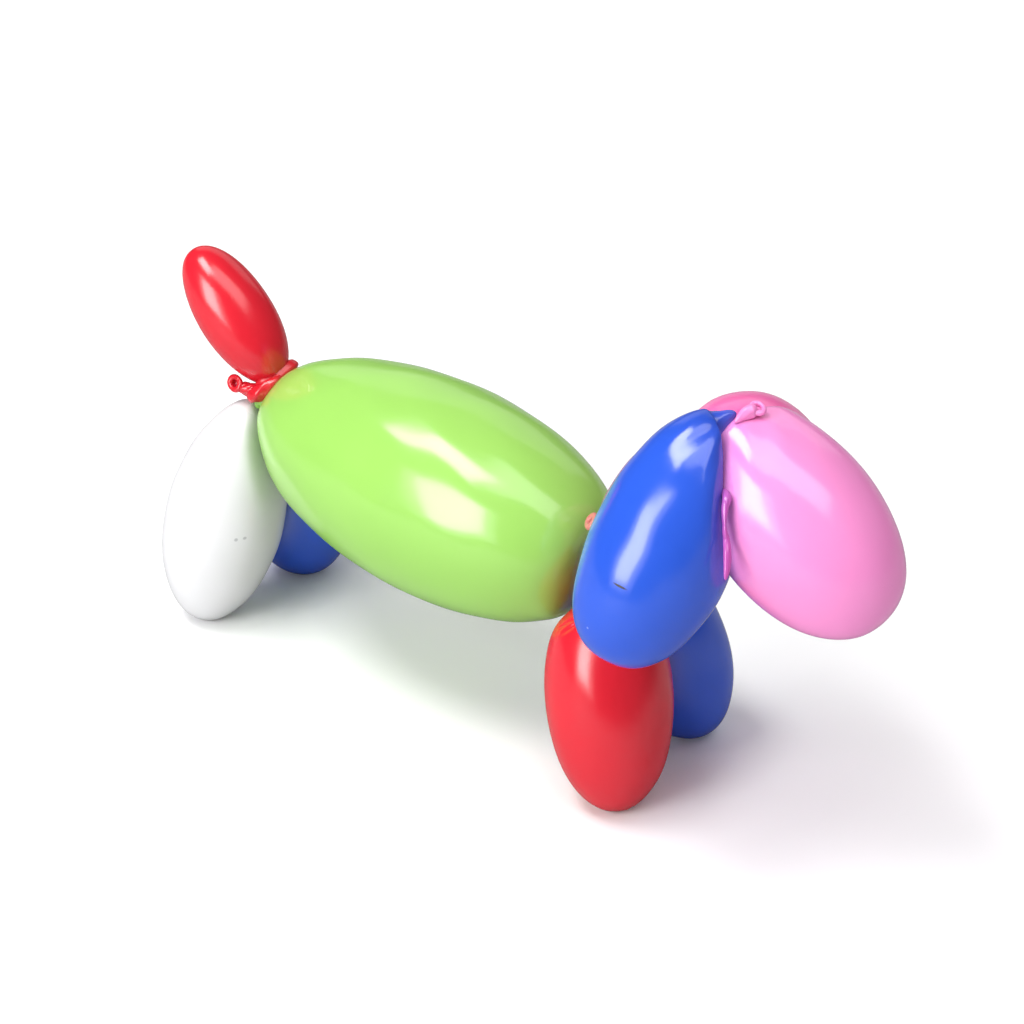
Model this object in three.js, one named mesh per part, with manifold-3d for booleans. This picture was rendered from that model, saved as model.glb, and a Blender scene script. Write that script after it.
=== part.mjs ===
import * as THREE from 'three';
import { mergeVertices } from 'three/addons/utils/BufferGeometryUtils.js';
import Module from 'manifold-3d';

const wasm = await Module();
wasm.setup();

// A dog made of ten tied balloons, in millimetres: +Z up, nose along +X, right flank along -Y.
// Each balloon is blown and tied by itself: LENGTH runs from its tied end to its far end, and
// RADIUS is its widest one.
const BODY_LENGTH = 173;
const BODY_RADIUS = 43.2;
const TAIL_LENGTH = 64.4;
const TAIL_RADIUS = 15.4;
const HIND_LEG_LENGTH = 99.5;
const HIND_LEG_RADIUS = 24.7;
const FRONT_LEG_LENGTH = 98.5;
const FRONT_LEG_RADIUS = 24.6;
const NECK_LENGTH = 89;
const NECK_RADIUS = 18;
const EAR_RIGHT_LENGTH = 100.3;
const EAR_RIGHT_RADIUS = 26.7;
const EAR_LEFT_LENGTH = 94.6;
const EAR_LEFT_RADIUS = 30;
const MUZZLE_LENGTH = 104;
const MUZZLE_RADIUS = 30.6;

// Where each balloon is tied, from the middle of its knot. A leg's length gives its height, and
// the hind knot is at x = 0, y = 0
const HIND_KNOT = { right: [-1.7, -8], left: [2.2, 8], body: [2.1, 0, -6], tail: [6.1, 0, 6.6] };
const FRONT_KNOT = { right: [7.5, -9], left: [-1.9, 11], bodyDrop: 11, neck: [6.2, -2, 2.9] };
const HEAD_KNOT = {
  neck: [-4, 5, -10.5],
  earRight: [-2.1, 0, -0.2],
  earLeft: [-8, 11, -11.5],
  muzzle: [-20.9, 5, -5.1],
};

// What is left over of a balloon at its knot, and how it is pressed
const LIP_ROLL = 1.3;
const RIBBON_ROOT = 0.72;
const RIBBON_HALF_THICKNESS = 0.8;
const SOLE_PRESS = 1.2;
const CLEARANCE = 0.3;

// Pleats that run out of a tied end, their depth and reach as shares of radius and length
const PLEATS = 5;
const PLEAT_DEPTH = 0.05;
const PLEAT_REACH = 0.12;

// Facets
const RINGS = 16;
const SECTORS = 20;
const SMALL_RINGS = 10;
const SMALL_SECTORS = 10;
const RIM_STEPS = 6;

const FAR = 600;
const at = (x, y, z) => new THREE.Vector3(x, y, z);
const ALONG = at(0, 1, 0);
const DOWN = at(0, 0, -1);

const paint = {
  green: { color: 0x9bdf5a, roughness: 0.22 },
  white: { color: 0xf2f2ee, roughness: 0.25 },
  blue: { color: 0x2c5ad6, roughness: 0.2 },
  red: { color: 0xe02433, roughness: 0.22 },
  pink: { color: 0xf59ad4, roughness: 0.22 },
  hotPink: { color: 0xf27dbd, roughness: 0.24 },
};

// Balloons

// Direction with a heading from +X towards +Y and a droop below level, in degrees
function aim(heading, droop) {
  const h = THREE.MathUtils.degToRad(heading);
  const d = THREE.MathUtils.degToRad(droop);
  return at(Math.cos(h) * Math.cos(d), Math.sin(h) * Math.cos(d), -Math.sin(d));
}

// `taper` is how a balloon widens from its tied end, the smaller the blunter, and `dome` how it
// closes at its far end. A firmer balloon gives way less where two press on each other
function balloon(name, finish, [length, radius, taper, dome], [heading, droop], firmness = 1) {
  const shape = { length, radius, taper, dome };
  const direction = aim(heading, droop);
  return { name, finish, shape, direction, firmness, tiedEnd: at(0, 0, 0), walls: [], trims: [] };
}

const hindRight = balloon('hind_leg_right', paint.white,
  [HIND_LEG_LENGTH, HIND_LEG_RADIUS, 0.57, 0.51], [-104, 72.5]);
const hindLeft = balloon('hind_leg_left', paint.blue,
  [HIND_LEG_LENGTH, HIND_LEG_RADIUS, 0.62, 0.49], [112, 81.3]);
const frontRight = balloon('front_leg_right', paint.red,
  [FRONT_LEG_LENGTH, FRONT_LEG_RADIUS, 0.58, 0.5], [-39.5, 68.5]);
const frontLeft = balloon('front_leg_left', paint.blue,
  [FRONT_LEG_LENGTH, FRONT_LEG_RADIUS, 0.57, 0.51], [33.5, 67.9]);
const body = balloon('body', paint.green, [BODY_LENGTH, BODY_RADIUS, 0.462, 0.401], [0, 0], 4);
const tail = balloon('tail', paint.red, [TAIL_LENGTH, TAIL_RADIUS, 0.52, 0.48], [-177.5, -47]);
const neck = balloon('neck', paint.pink, [NECK_LENGTH, NECK_RADIUS, 0.5, 0.5], [0, -51.8]);
const earRight = balloon('ear_right', paint.blue,
  [EAR_RIGHT_LENGTH, EAR_RIGHT_RADIUS, 0.436, 0.385], [-103.6, 57.8], 2);
const earLeft = balloon('ear_left', paint.hotPink,
  [EAR_LEFT_LENGTH, EAR_LEFT_RADIUS, 0.56, 0.48], [109.1, 54.5]);
const muzzle = balloon('muzzle', paint.pink,
  [MUZZLE_LENGTH, MUZZLE_RADIUS, 0.558, 0.466], [1.2, 36.5]);
const legs = [hindRight, hindLeft, frontRight, frontLeft];
const balloons = [body, tail, ...legs, neck, earRight, earLeft, muzzle];

const along = (b, distance) => b.tiedEnd.clone().addScaledVector(b.direction, distance);
const farEnd = (b) => along(b, b.shape.length);
const core = (b) => along(b, b.shape.length / 2);

function placement(b) {
  const turn = new THREE.Quaternion().setFromUnitVectors(ALONG, b.direction);
  return new THREE.Matrix4().compose(b.tiedEnd, turn, at(1, 1, 1));
}

// Radius at the share t of the length
function bulge({ radius, taper, dome }, t) {
  const widest = taper / (taper + dome);
  return radius * (t / widest) ** taper * ((1 - t) / (1 - widest)) ** dome;
}

// One closed skin: positions only, shared vertices merged, no triangle without area
function welded(geometry) {
  geometry.deleteAttribute('normal');
  geometry.deleteAttribute('uv');
  const merged = mergeVertices(geometry, 1e-4);
  const index = [];
  for (let i = 0; i < merged.index.count; i += 3) {
    const corners = [0, 1, 2].map((k) => merged.index.getX(i + k));
    if (new Set(corners).size === 3) index.push(...corners);
  }
  merged.setIndex(index);
  return merged;
}

// A free balloon in its place; `grow` adds an even skin all round
function freeSkin(b, grow = 0) {
  const profile = [];
  for (let i = 0; i <= RINGS; i += 1) {
    const t = 0.5 - 0.5 * Math.cos((Math.PI * i) / RINGS);
    const onAxis = i === 0 || i === RINGS;
    const reach = onAxis ? 0 : bulge(b.shape, t) + grow;
    profile.push(new THREE.Vector2(reach, t * (b.shape.length + 2 * grow) - grow));
  }
  const skin = welded(new THREE.LatheGeometry(profile, SECTORS));
  const spots = skin.attributes.position;
  for (let v = 0; v < spots.count; v += 1) {
    const depth = PLEAT_DEPTH * Math.exp(-spots.getY(v) / (b.shape.length * PLEAT_REACH));
    const pleat = 1 - depth * (1 - Math.cos(PLEATS * Math.atan2(spots.getX(v), spots.getZ(v))));
    spots.setXYZ(v, spots.getX(v) * pleat, spots.getY(v), spots.getZ(v) * pleat);
  }
  return skin.applyMatrix4(placement(b));
}

// Pose

const knots = [];

// A leg stands with its round end pressed into the ground by SOLE_PRESS
function standOnGround(leg) {
  const free = freeSkin(leg);
  free.computeBoundingBox();
  leg.tiedEnd.z -= free.boundingBox.min.z + SOLE_PRESS;
}

function tieLeg(leg, place, [x, y]) {
  leg.tiedEnd.setX(place.x + x).setY(place.y + y);
}

function poseHindquarters() {
  [hindRight, hindLeft].forEach(standOnGround);
  const place = at(0, 0, (hindRight.tiedEnd.z + hindLeft.tiedEnd.z) / 2);
  tieLeg(hindRight, place, HIND_KNOT.right);
  tieLeg(hindLeft, place, HIND_KNOT.left);
  body.tiedEnd.copy(place).add(at(...HIND_KNOT.body));
  tail.tiedEnd.copy(place).add(at(...HIND_KNOT.tail));
  knots.push({ place, ties: [hindRight, hindLeft, body, tail] });
}

function poseForequarters() {
  [frontRight, frontLeft].forEach(standOnGround);
  const height = (frontRight.tiedEnd.z + frontLeft.tiedEnd.z) / 2;
  const rise = height - FRONT_KNOT.bodyDrop - body.tiedEnd.z;
  body.direction.set(Math.sqrt(BODY_LENGTH ** 2 - rise ** 2), 0, rise).normalize();
  const place = farEnd(body).setZ(height);
  tieLeg(frontRight, place, FRONT_KNOT.right);
  tieLeg(frontLeft, place, FRONT_KNOT.left);
  neck.tiedEnd.copy(place).add(at(...FRONT_KNOT.neck));
  knots.push({ place, ties: [body, frontRight, frontLeft, neck] });
}

function poseHead() {
  const place = farEnd(neck).sub(at(...HEAD_KNOT.neck));
  earRight.tiedEnd.copy(place).add(at(...HEAD_KNOT.earRight));
  earLeft.tiedEnd.copy(place).add(at(...HEAD_KNOT.earLeft));
  muzzle.tiedEnd.copy(place).add(at(...HEAD_KNOT.muzzle));
  knots.push({ place, ties: [neck, earRight, earLeft, muzzle] });
}

// Where two balloons press on each other

function isInside(b, point) {
  const arm = point.clone().sub(b.tiedEnd);
  const run = arm.dot(b.direction);
  const t = run / b.shape.length;
  if (t <= 0 || t >= 1) return false;
  return Math.sqrt(arm.lengthSq() - run * run) < bulge(b.shape, t) + CLEARANCE;
}

// The middle of the cap by which one free balloon would sink into another
function capMiddle(b, other) {
  const spots = freeSkin(b).attributes.position;
  const sum = at(0, 0, 0);
  let count = 0;
  for (let v = 0; v < spots.count; v += 1) {
    const spot = new THREE.Vector3().fromBufferAttribute(spots, v);
    if (isInside(other, spot)) {
      sum.add(spot);
      count += 1;
    }
  }
  return count > 0 ? sum.divideScalar(count) : null;
}

// Two balloons of one knot press on a flat wall, which runs from the knot through the middle of
// what they would share and faces from core to core
function pressTogether(a, b, knot) {
  const capOfA = capMiddle(a, b);
  const capOfB = capMiddle(b, a);
  if (!capOfA || !capOfB) return;
  const middle = capOfA.lerp(capOfB, b.firmness / (a.firmness + b.firmness));
  const run = middle.clone().sub(knot.place).normalize();
  const facing = core(b).sub(core(a));
  facing.addScaledVector(run, -facing.dot(run)).normalize();
  a.walls.push({ facing, middle });
  b.walls.push({ facing: facing.clone().negate(), middle });
}

// Solids

function solid(geometry) {
  const vertProperties = new Float32Array(geometry.attributes.position.array);
  const triVerts = new Uint32Array(geometry.index.array);
  return new wasm.Manifold(new wasm.Mesh({ numProp: 3, vertProperties, triVerts }));
}

function geometryOf(piece) {
  const { vertProperties, triVerts } = piece.getMesh();
  const geometry = new THREE.BufferGeometry();
  geometry.setAttribute('position', new THREE.BufferAttribute(vertProperties, 3));
  geometry.setIndex(new THREE.BufferAttribute(triVerts, 1));
  return geometry;
}

// All that lies beyond a plane through `middle`
function beyond(facing, middle) {
  const block = new THREE.BoxGeometry(FAR, FAR, FAR).translate(0, FAR / 2, 0);
  block.applyQuaternion(new THREE.Quaternion().setFromUnitVectors(ALONG, facing));
  return solid(welded(block.translate(middle.x, middle.y, middle.z)));
}

// A balloon flattened where it meets its neighbours and the ground
function pressedBulb(b, grow = 0) {
  let bulb = solid(freeSkin(b, grow));
  for (const { facing, middle } of b.walls) {
    const face = middle.clone().addScaledVector(facing, grow - CLEARANCE / 2);
    bulb = bulb.subtract(beyond(facing, face));
  }
  return legs.includes(b) ? bulb.subtract(beyond(DOWN, at(0, 0, -grow))) : bulb;
}

// Slack latex drawn along a curve, with round ends. `girths` are its half-widths, evenly spaced
// along the way, and `flat` is its half-thickness where it lies flat, facing `facing`
function slackLatex({ points, girths, facing, flat = 0, grow = 0 }) {
  const curve = new THREE.CatmullRomCurve3(points);
  const steps = girths.length - 1;
  const roundEnds = (t) => Math.sqrt(1 - Math.abs(2 * t - 1) ** 5);
  const profile = [];
  for (let i = 0; i <= SMALL_RINGS; i += 1) profile.push(new THREE.Vector2(roundEnds(i / SMALL_RINGS), i));
  const skin = welded(new THREE.LatheGeometry(profile, SMALL_SECTORS));
  const spots = skin.attributes.position;
  for (let v = 0; v < spots.count; v += 1) {
    const t = Math.round(spots.getY(v)) / SMALL_RINGS;
    const k = Math.min(Math.floor(t * steps), steps - 1);
    const girth = THREE.MathUtils.lerp(girths[k], girths[k + 1], t * steps - k);
    const side = curve.getTangentAt(t).cross(facing).normalize();
    const front = side.clone().cross(curve.getTangentAt(t));
    const spot = curve.getPointAt(t)
      .addScaledVector(side, spots.getX(v) * (girth + grow))
      .addScaledVector(front, spots.getZ(v) * ((flat || girth) + grow));
    spots.setXYZ(v, spot.x, spot.y, spot.z);
  }
  return solid(skin);
}

// A balloon's rolled mouth: a dished disc with a round rim, open towards `facing`
function lip({ place, facing, radius }) {
  const rim = radius - LIP_ROLL;
  const profile = [new THREE.Vector2(0, -LIP_ROLL)];
  for (let i = 0; i <= RIM_STEPS; i += 1) {
    const turn = (-0.5 + (1.15 * i) / RIM_STEPS) * Math.PI;
    profile.push(new THREE.Vector2(rim + LIP_ROLL * Math.cos(turn), LIP_ROLL * Math.sin(turn)));
  }
  profile.push(new THREE.Vector2(0, -LIP_ROLL / 3));
  const disc = new THREE.LatheGeometry(profile, SMALL_SECTORS);
  disc.applyQuaternion(new THREE.Quaternion().setFromUnitVectors(ALONG, facing.clone().normalize()));
  return solid(welded(disc.translate(place.x, place.y, place.z)));
}

// Trims: what sticks out of the knots

const from = (origin, ...offsets) => offsets.map(([x, y, z]) => origin.clone().add(at(x, y, z)));

// The tail's neck is wound round the hind knot, and its mouth sticks out behind
function trimTail(knot) {
  const facing = at(0.6, -0.5, 0.6);
  const near = from(knot, [1.5, -9.5, 1.3], [6.5, -8.5, 6.3], [10, -3.5, 11.1]);
  const wound = [...near, ...from(knot, [8.5, 6, 12.8], [4.5, 14, 11.8])];
  const root = [along(tail, 8), along(tail, 2), ...from(knot, [8, -3, 8])];
  const stem = from(knot, [4.4, -6, 5.4], [-4.6, -6, 3.4], [-10.1, -6.3, 3]);
  const [mouth] = from(knot, [-11.5, -6, 3.1]);
  tail.trims = [
    slackLatex({ points: wound, girths: [4.2, 4.2, 3.4, 2.6, 2.8], facing }),
    slackLatex({ points: root, girths: [5, 5, 4], facing: at(0, 1, 0) }),
    slackLatex({ points: stem, girths: [2, 2, 2.2], facing: DOWN }),
    lip({ place: mouth, facing: at(-0.5, -0.75, 0.45), radius: 3.3 }),
  ];
}

// The muzzle's mouth lies on top of it
function trimMuzzle(knot) {
  const stem = from(knot, [3.8, 2.6, -4.5], [4.4, 2.8, 1], [7, 4.2, 2.5]);
  const [mouth] = from(knot, [8, 4.6, 3]);
  muzzle.trims = [
    slackLatex({ points: stem, girths: [2.4, 2.2, 2.6], facing: at(0, 1, 0) }),
    lip({ place: mouth, facing: at(0.35, -0.25, 0.9), radius: 3.8 }),
  ];
}

// The right ear's tied tip curls over the knot
function trimEar(knot) {
  const beak = from(knot, [-10, -7, -8.5], [-4.5, -2, -1.5], [-1, -0.6, 0.8], [0.6, -0.4, 0.1]);
  earRight.trims = [slackLatex({ points: beak, girths: [7, 5, 2.6, 1.4], facing: at(0, 1, 0) })];
}

// The neck's slack end hangs between the right ear and the muzzle, which make room for it
function ribbon(grow) {
  const root = along(neck, RIBBON_ROOT * NECK_LENGTH);
  const hidden = [root, ...from(headKnot.place, [-6, 1, -19], [0.4, -5, -20], [3.4, -11, -30])];
  const hanging = from(headKnot.place, [5.8, -15, -38], [11, -18, -44], [13, -19, -53], [13.5, -19, -57]);
  const girths = [3, 3.2, 3.4, 3.2, 4, 2.6, 3.6, 3.2];
  const facing = at(0.97, -0.1, -0.1);
  return slackLatex({ points: [...hidden, ...hanging], girths, facing, flat: RIBBON_HALF_THICKNESS, grow });
}

// The neck's mouth shows between the body and the right ear
function trimNeck() {
  const stem = from(neck.tiedEnd, [3, 0, 6], [-0.5, -6, 11], [-1, -9.5, 13.5]);
  const [mouth] = from(neck.tiedEnd, [-1, -10.5, 14.6]);
  neck.trims = [
    slackLatex({ points: stem, girths: [3, 2.2, 2.4], facing: at(1, 0, 0) }),
    lip({ place: mouth, facing: at(-0.3, -0.7, 0.6), radius: 3.3 }),
  ];
}

poseHindquarters();
poseForequarters();
poseHead();
for (const knot of knots) {
  knot.ties.forEach((a, i) => knot.ties.slice(i + 1).forEach((b) => pressTogether(a, b, knot)));
}
const [hindKnot, , headKnot] = knots;
trimTail(hindKnot.place);
trimMuzzle(headKnot.place);
trimEar(headKnot.place);
trimNeck();

// Assembly

function pieceOf(b) {
  const bulb = b === neck ? pressedBulb(b).add(ribbon(0)) : pressedBulb(b).subtract(ribbon(CLEARANCE));
  if (b.trims.length === 0) return bulb;
  const others = balloons.filter((other) => other !== b);
  const trim = b.trims.reduce((sum, one) => sum.add(one));
  return bulb.add(others.reduce((rest, other) => rest.subtract(pressedBulb(other, CLEARANCE)), trim));
}

const dog = new THREE.Group();
for (const b of balloons) {
  const { color, roughness } = b.finish;
  const mesh = new THREE.Mesh(
    geometryOf(pieceOf(b)).applyMatrix4(placement(b).invert()),
    new THREE.MeshStandardMaterial({ color, roughness, metalness: 0 }),
  );
  mesh.name = b.name;
  mesh.applyMatrix4(placement(b));
  dog.add(mesh);
}

// The origin lies on the ground below the middle of the dog
const middle = new THREE.Box3().setFromObject(dog, true).getCenter(at(0, 0, 0));
dog.position.set(-middle.x, -middle.y, 0);
const model = new THREE.Group();
model.add(dog);

export default model;
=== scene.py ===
"""A dog made of ten tied latex balloons, dressed over its CAD frame.

Metres, +Z up, nose along +X, right flank along -Y, standing on z = 0.
"""

import logging
import math
from dataclasses import dataclass, field
from enum import Enum
from itertools import combinations, product

import bpy
import numpy as np
from mathutils import Matrix, Vector


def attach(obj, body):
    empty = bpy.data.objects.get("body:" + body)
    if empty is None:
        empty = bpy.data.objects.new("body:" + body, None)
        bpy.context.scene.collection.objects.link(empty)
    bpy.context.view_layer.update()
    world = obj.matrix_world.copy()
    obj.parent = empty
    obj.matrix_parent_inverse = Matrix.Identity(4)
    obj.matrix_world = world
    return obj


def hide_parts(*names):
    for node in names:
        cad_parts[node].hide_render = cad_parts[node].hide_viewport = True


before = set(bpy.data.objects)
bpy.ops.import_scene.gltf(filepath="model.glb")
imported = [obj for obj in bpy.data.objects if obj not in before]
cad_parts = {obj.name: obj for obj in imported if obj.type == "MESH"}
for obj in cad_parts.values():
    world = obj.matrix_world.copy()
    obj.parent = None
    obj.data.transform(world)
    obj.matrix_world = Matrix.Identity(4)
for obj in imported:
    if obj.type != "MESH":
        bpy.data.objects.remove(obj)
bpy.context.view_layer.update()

log = logging.getLogger("balloon_dog")

MM = 0.001
CLEARANCE = 0.3 * MM
ORIGIN = np.array([133.394, -1.208, 0.0]) * MM
HIND_KNOT = np.array([0.0, 0.0, 95.7]) * MM - ORIGIN
FRONT_KNOT = np.array([174.8, 0.0, 91.2]) * MM - ORIGIN
HEAD_KNOT = np.array([240.1, -7.0, 174.5]) * MM - ORIGIN


def near(origin: np.ndarray, x: float, y: float, z: float) -> np.ndarray:
    """A place at an offset in millimetres from a knot.

    Args:
        origin: The knot, in metres.
        x: Offset along +X, in millimetres.
        y: Offset along +Y, in millimetres.
        z: Offset along +Z, in millimetres.

    Returns:
        The place in metres.
    """
    return origin + np.array([x, y, z]) * MM


def path(origin: np.ndarray, *offsets: tuple[float, float, float]) -> list[np.ndarray]:
    """Places along a curve, at offsets in millimetres from a knot.

    Args:
        origin: The knot, in metres.
        offsets: One offset for each place.

    Returns:
        The places in metres.
    """
    return [near(origin, *offset) for offset in offsets]


def spot(x: float, y: float, z: float) -> tuple[float, float, float]:
    """A place at an offset in millimetres from the hind knot's foot on the ground.

    Args:
        x: Offset along +X.
        y: Offset along +Y.
        z: Height.

    Returns:
        The place in metres.
    """
    return tuple(float(v) for v in near(-ORIGIN, x, y, z))


def unit(vector: np.ndarray) -> np.ndarray:
    """Brings a vector to length one.

    Args:
        vector: Any vector but a zero one.

    Returns:
        The unit vector.
    """
    return vector / np.linalg.norm(vector)


def aim(heading: float, droop: float) -> np.ndarray:
    """A direction from its heading and its droop.

    Args:
        heading: Degrees from +X towards +Y.
        droop: Degrees below level.

    Returns:
        A unit vector.
    """
    h, d = math.radians(heading), math.radians(droop)
    return np.array([math.cos(h) * math.cos(d), math.sin(h) * math.cos(d), -math.sin(d)])


def new_ball(name: str, sectors: int, rings: int) -> bpy.types.Object:
    """Adds a unit sphere whose poles lie on Z, the start of every skin here.

    Args:
        name: The object's name.
        sectors: Faces round it.
        rings: Faces from pole to pole.

    Returns:
        The new object.
    """
    bpy.ops.object.select_all(action="DESELECT")
    bpy.ops.mesh.primitive_uv_sphere_add(segments=sectors, ring_count=rings, radius=1.0)
    ball = bpy.context.object
    ball.name = name
    ball.data.name = name
    bpy.ops.object.shade_smooth()
    return ball


def corners(piece: bpy.types.Object) -> np.ndarray:
    """Reads the places of a mesh's vertices.

    Args:
        piece: The mesh object.

    Returns:
        One row for each vertex, in metres.
    """
    flat = np.empty(len(piece.data.vertices) * 3)
    piece.data.vertices.foreach_get("co", flat)
    return flat.reshape(-1, 3)


def move_corners(piece: bpy.types.Object, places: np.ndarray) -> None:
    """Moves a mesh's vertices.

    Args:
        piece: The mesh object.
        places: One row for each vertex, in metres.
    """
    piece.data.vertices.foreach_set("co", np.ascontiguousarray(places).ravel())
    piece.data.update()


def write_attribute(piece: bpy.types.Object, name: str, values: np.ndarray) -> None:
    """Stores a number or a colour for each vertex, for the material to read.

    Args:
        piece: The mesh object.
        name: The attribute's name.
        values: One number, or four, for each vertex.
    """
    is_colour = values.ndim == 2
    layer = piece.data.attributes.new(name, "FLOAT_COLOR" if is_colour else "FLOAT", "POINT")
    flat = np.ascontiguousarray(values, dtype=np.float32).ravel()
    layer.data.foreach_set("color" if is_colour else "value", flat)


def read_attribute(piece: bpy.types.Object, name: str) -> np.ndarray:
    """The number or colour of each vertex.

    Args:
        piece: The mesh object.
        name: The attribute's name.

    Returns:
        One number, or one row of four, for each vertex.
    """
    layer = piece.data.attributes[name]
    is_colour = layer.data_type == "FLOAT_COLOR"
    flat = np.empty(len(piece.data.vertices) * (4 if is_colour else 1), dtype=np.float32)
    layer.data.foreach_get("color" if is_colour else "value", flat)
    return flat.reshape(-1, 4) if is_colour else flat


class Pigment(Enum):
    """The colours that the balloons come in: lit and deep, linear RGB."""

    GREEN = ((0.32, 0.61, 0.12), (0.18, 0.44, 0.05))
    RED = ((0.68, 0.012, 0.028), (0.50, 0.004, 0.012))
    WHITE = ((0.74, 0.74, 0.755), (0.68, 0.67, 0.685))
    BLUE = ((0.022, 0.095, 0.62), (0.010, 0.035, 0.30))
    MAGENTA = ((0.55, 0.10, 0.42), (0.40, 0.05, 0.30))
    HOT_PINK = ((0.93, 0.17, 0.46), (0.80, 0.10, 0.33))
    PINK = ((0.90, 0.29, 0.62), (0.80, 0.19, 0.49))

    @property
    def lit(self) -> tuple[float, float, float]:
        """The colour of the blown skin.

        Returns:
            Linear red, green and blue.
        """
        return self.value[0]

    @property
    def deep(self) -> tuple[float, float, float]:
        """The colour of slack latex, which is thicker.

        Returns:
            Linear red, green and blue.
        """
        return self.value[1]


@dataclass(frozen=True)
class Mark:
    """A small spot drawn in another colour on a skin: an ellipsoid of that colour.

    Attributes:
        place: The ellipsoid's middle, in metres.
        half_sizes: Its half sizes, in metres.
        turn: Its turn about X, Y and Z, in radians.
        colour: Linear red, green and blue.
    """

    place: tuple[float, float, float]
    half_sizes: tuple[float, float, float]
    turn: tuple[float, float, float]
    colour: tuple[float, float, float]


class Nodes:
    """Builds a material's node tree step by step."""

    def __init__(self, name: str) -> None:
        """Starts an empty material.

        Args:
            name: The material's name.
        """
        self.material = bpy.data.materials.new(name)
        self._start(self.material)

    def _start(self, owner: bpy.types.ID) -> None:
        """Empties the node tree of a material or a world, to build it afresh.

        Args:
            owner: The material or the world.
        """
        owner.use_nodes = True
        self.tree = owner.node_tree
        self.tree.nodes.clear()

    @classmethod
    def of_world(cls, name: str) -> "Nodes":
        """Starts the surroundings of the scene.

        Args:
            name: The world's name.

        Returns:
            The builder of its node tree.
        """
        nodes = cls.__new__(cls)
        bpy.context.scene.world = bpy.data.worlds.new(name)
        nodes._start(bpy.context.scene.world)
        return nodes

    def add(self, kind: str, inputs: dict | None = None, **settings: object) -> bpy.types.Node:
        """Adds a node, with its settings and its inputs.

        Args:
            kind: The node's type.
            inputs: Socket name or number to a value, or to the socket that feeds it.
            settings: The node's own options.

        Returns:
            The node.
        """
        node = self.tree.nodes.new(kind)
        for name, value in settings.items():
            setattr(node, name, value)
        for name, value in (inputs or {}).items():
            if isinstance(value, bpy.types.NodeSocket):
                self.tree.links.new(value, node.inputs[name])
            else:
                node.inputs[name].default_value = value
        return node

    def mix(self, factor: object, first: object, second: object) -> bpy.types.NodeSocket:
        """Mixes two colours.

        Args:
            factor: A number or socket, 0 for the first colour and 1 for the second.
            first: A colour or socket.
            second: A colour or socket.

        Returns:
            The mixed colour's socket.
        """
        node = self.add("ShaderNodeMix", {0: factor, 6: first, 7: second}, data_type="RGBA")
        return node.outputs[2]

    def math(self, operation: str, first: object, second: object = 0.0) -> bpy.types.NodeSocket:
        """Works one number out of two.

        Args:
            operation: What is done, such as MULTIPLY.
            first: A number or socket.
            second: A number or socket.

        Returns:
            The result's socket.
        """
        return self.add("ShaderNodeMath", {0: first, 1: second}, operation=operation).outputs[0]


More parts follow.
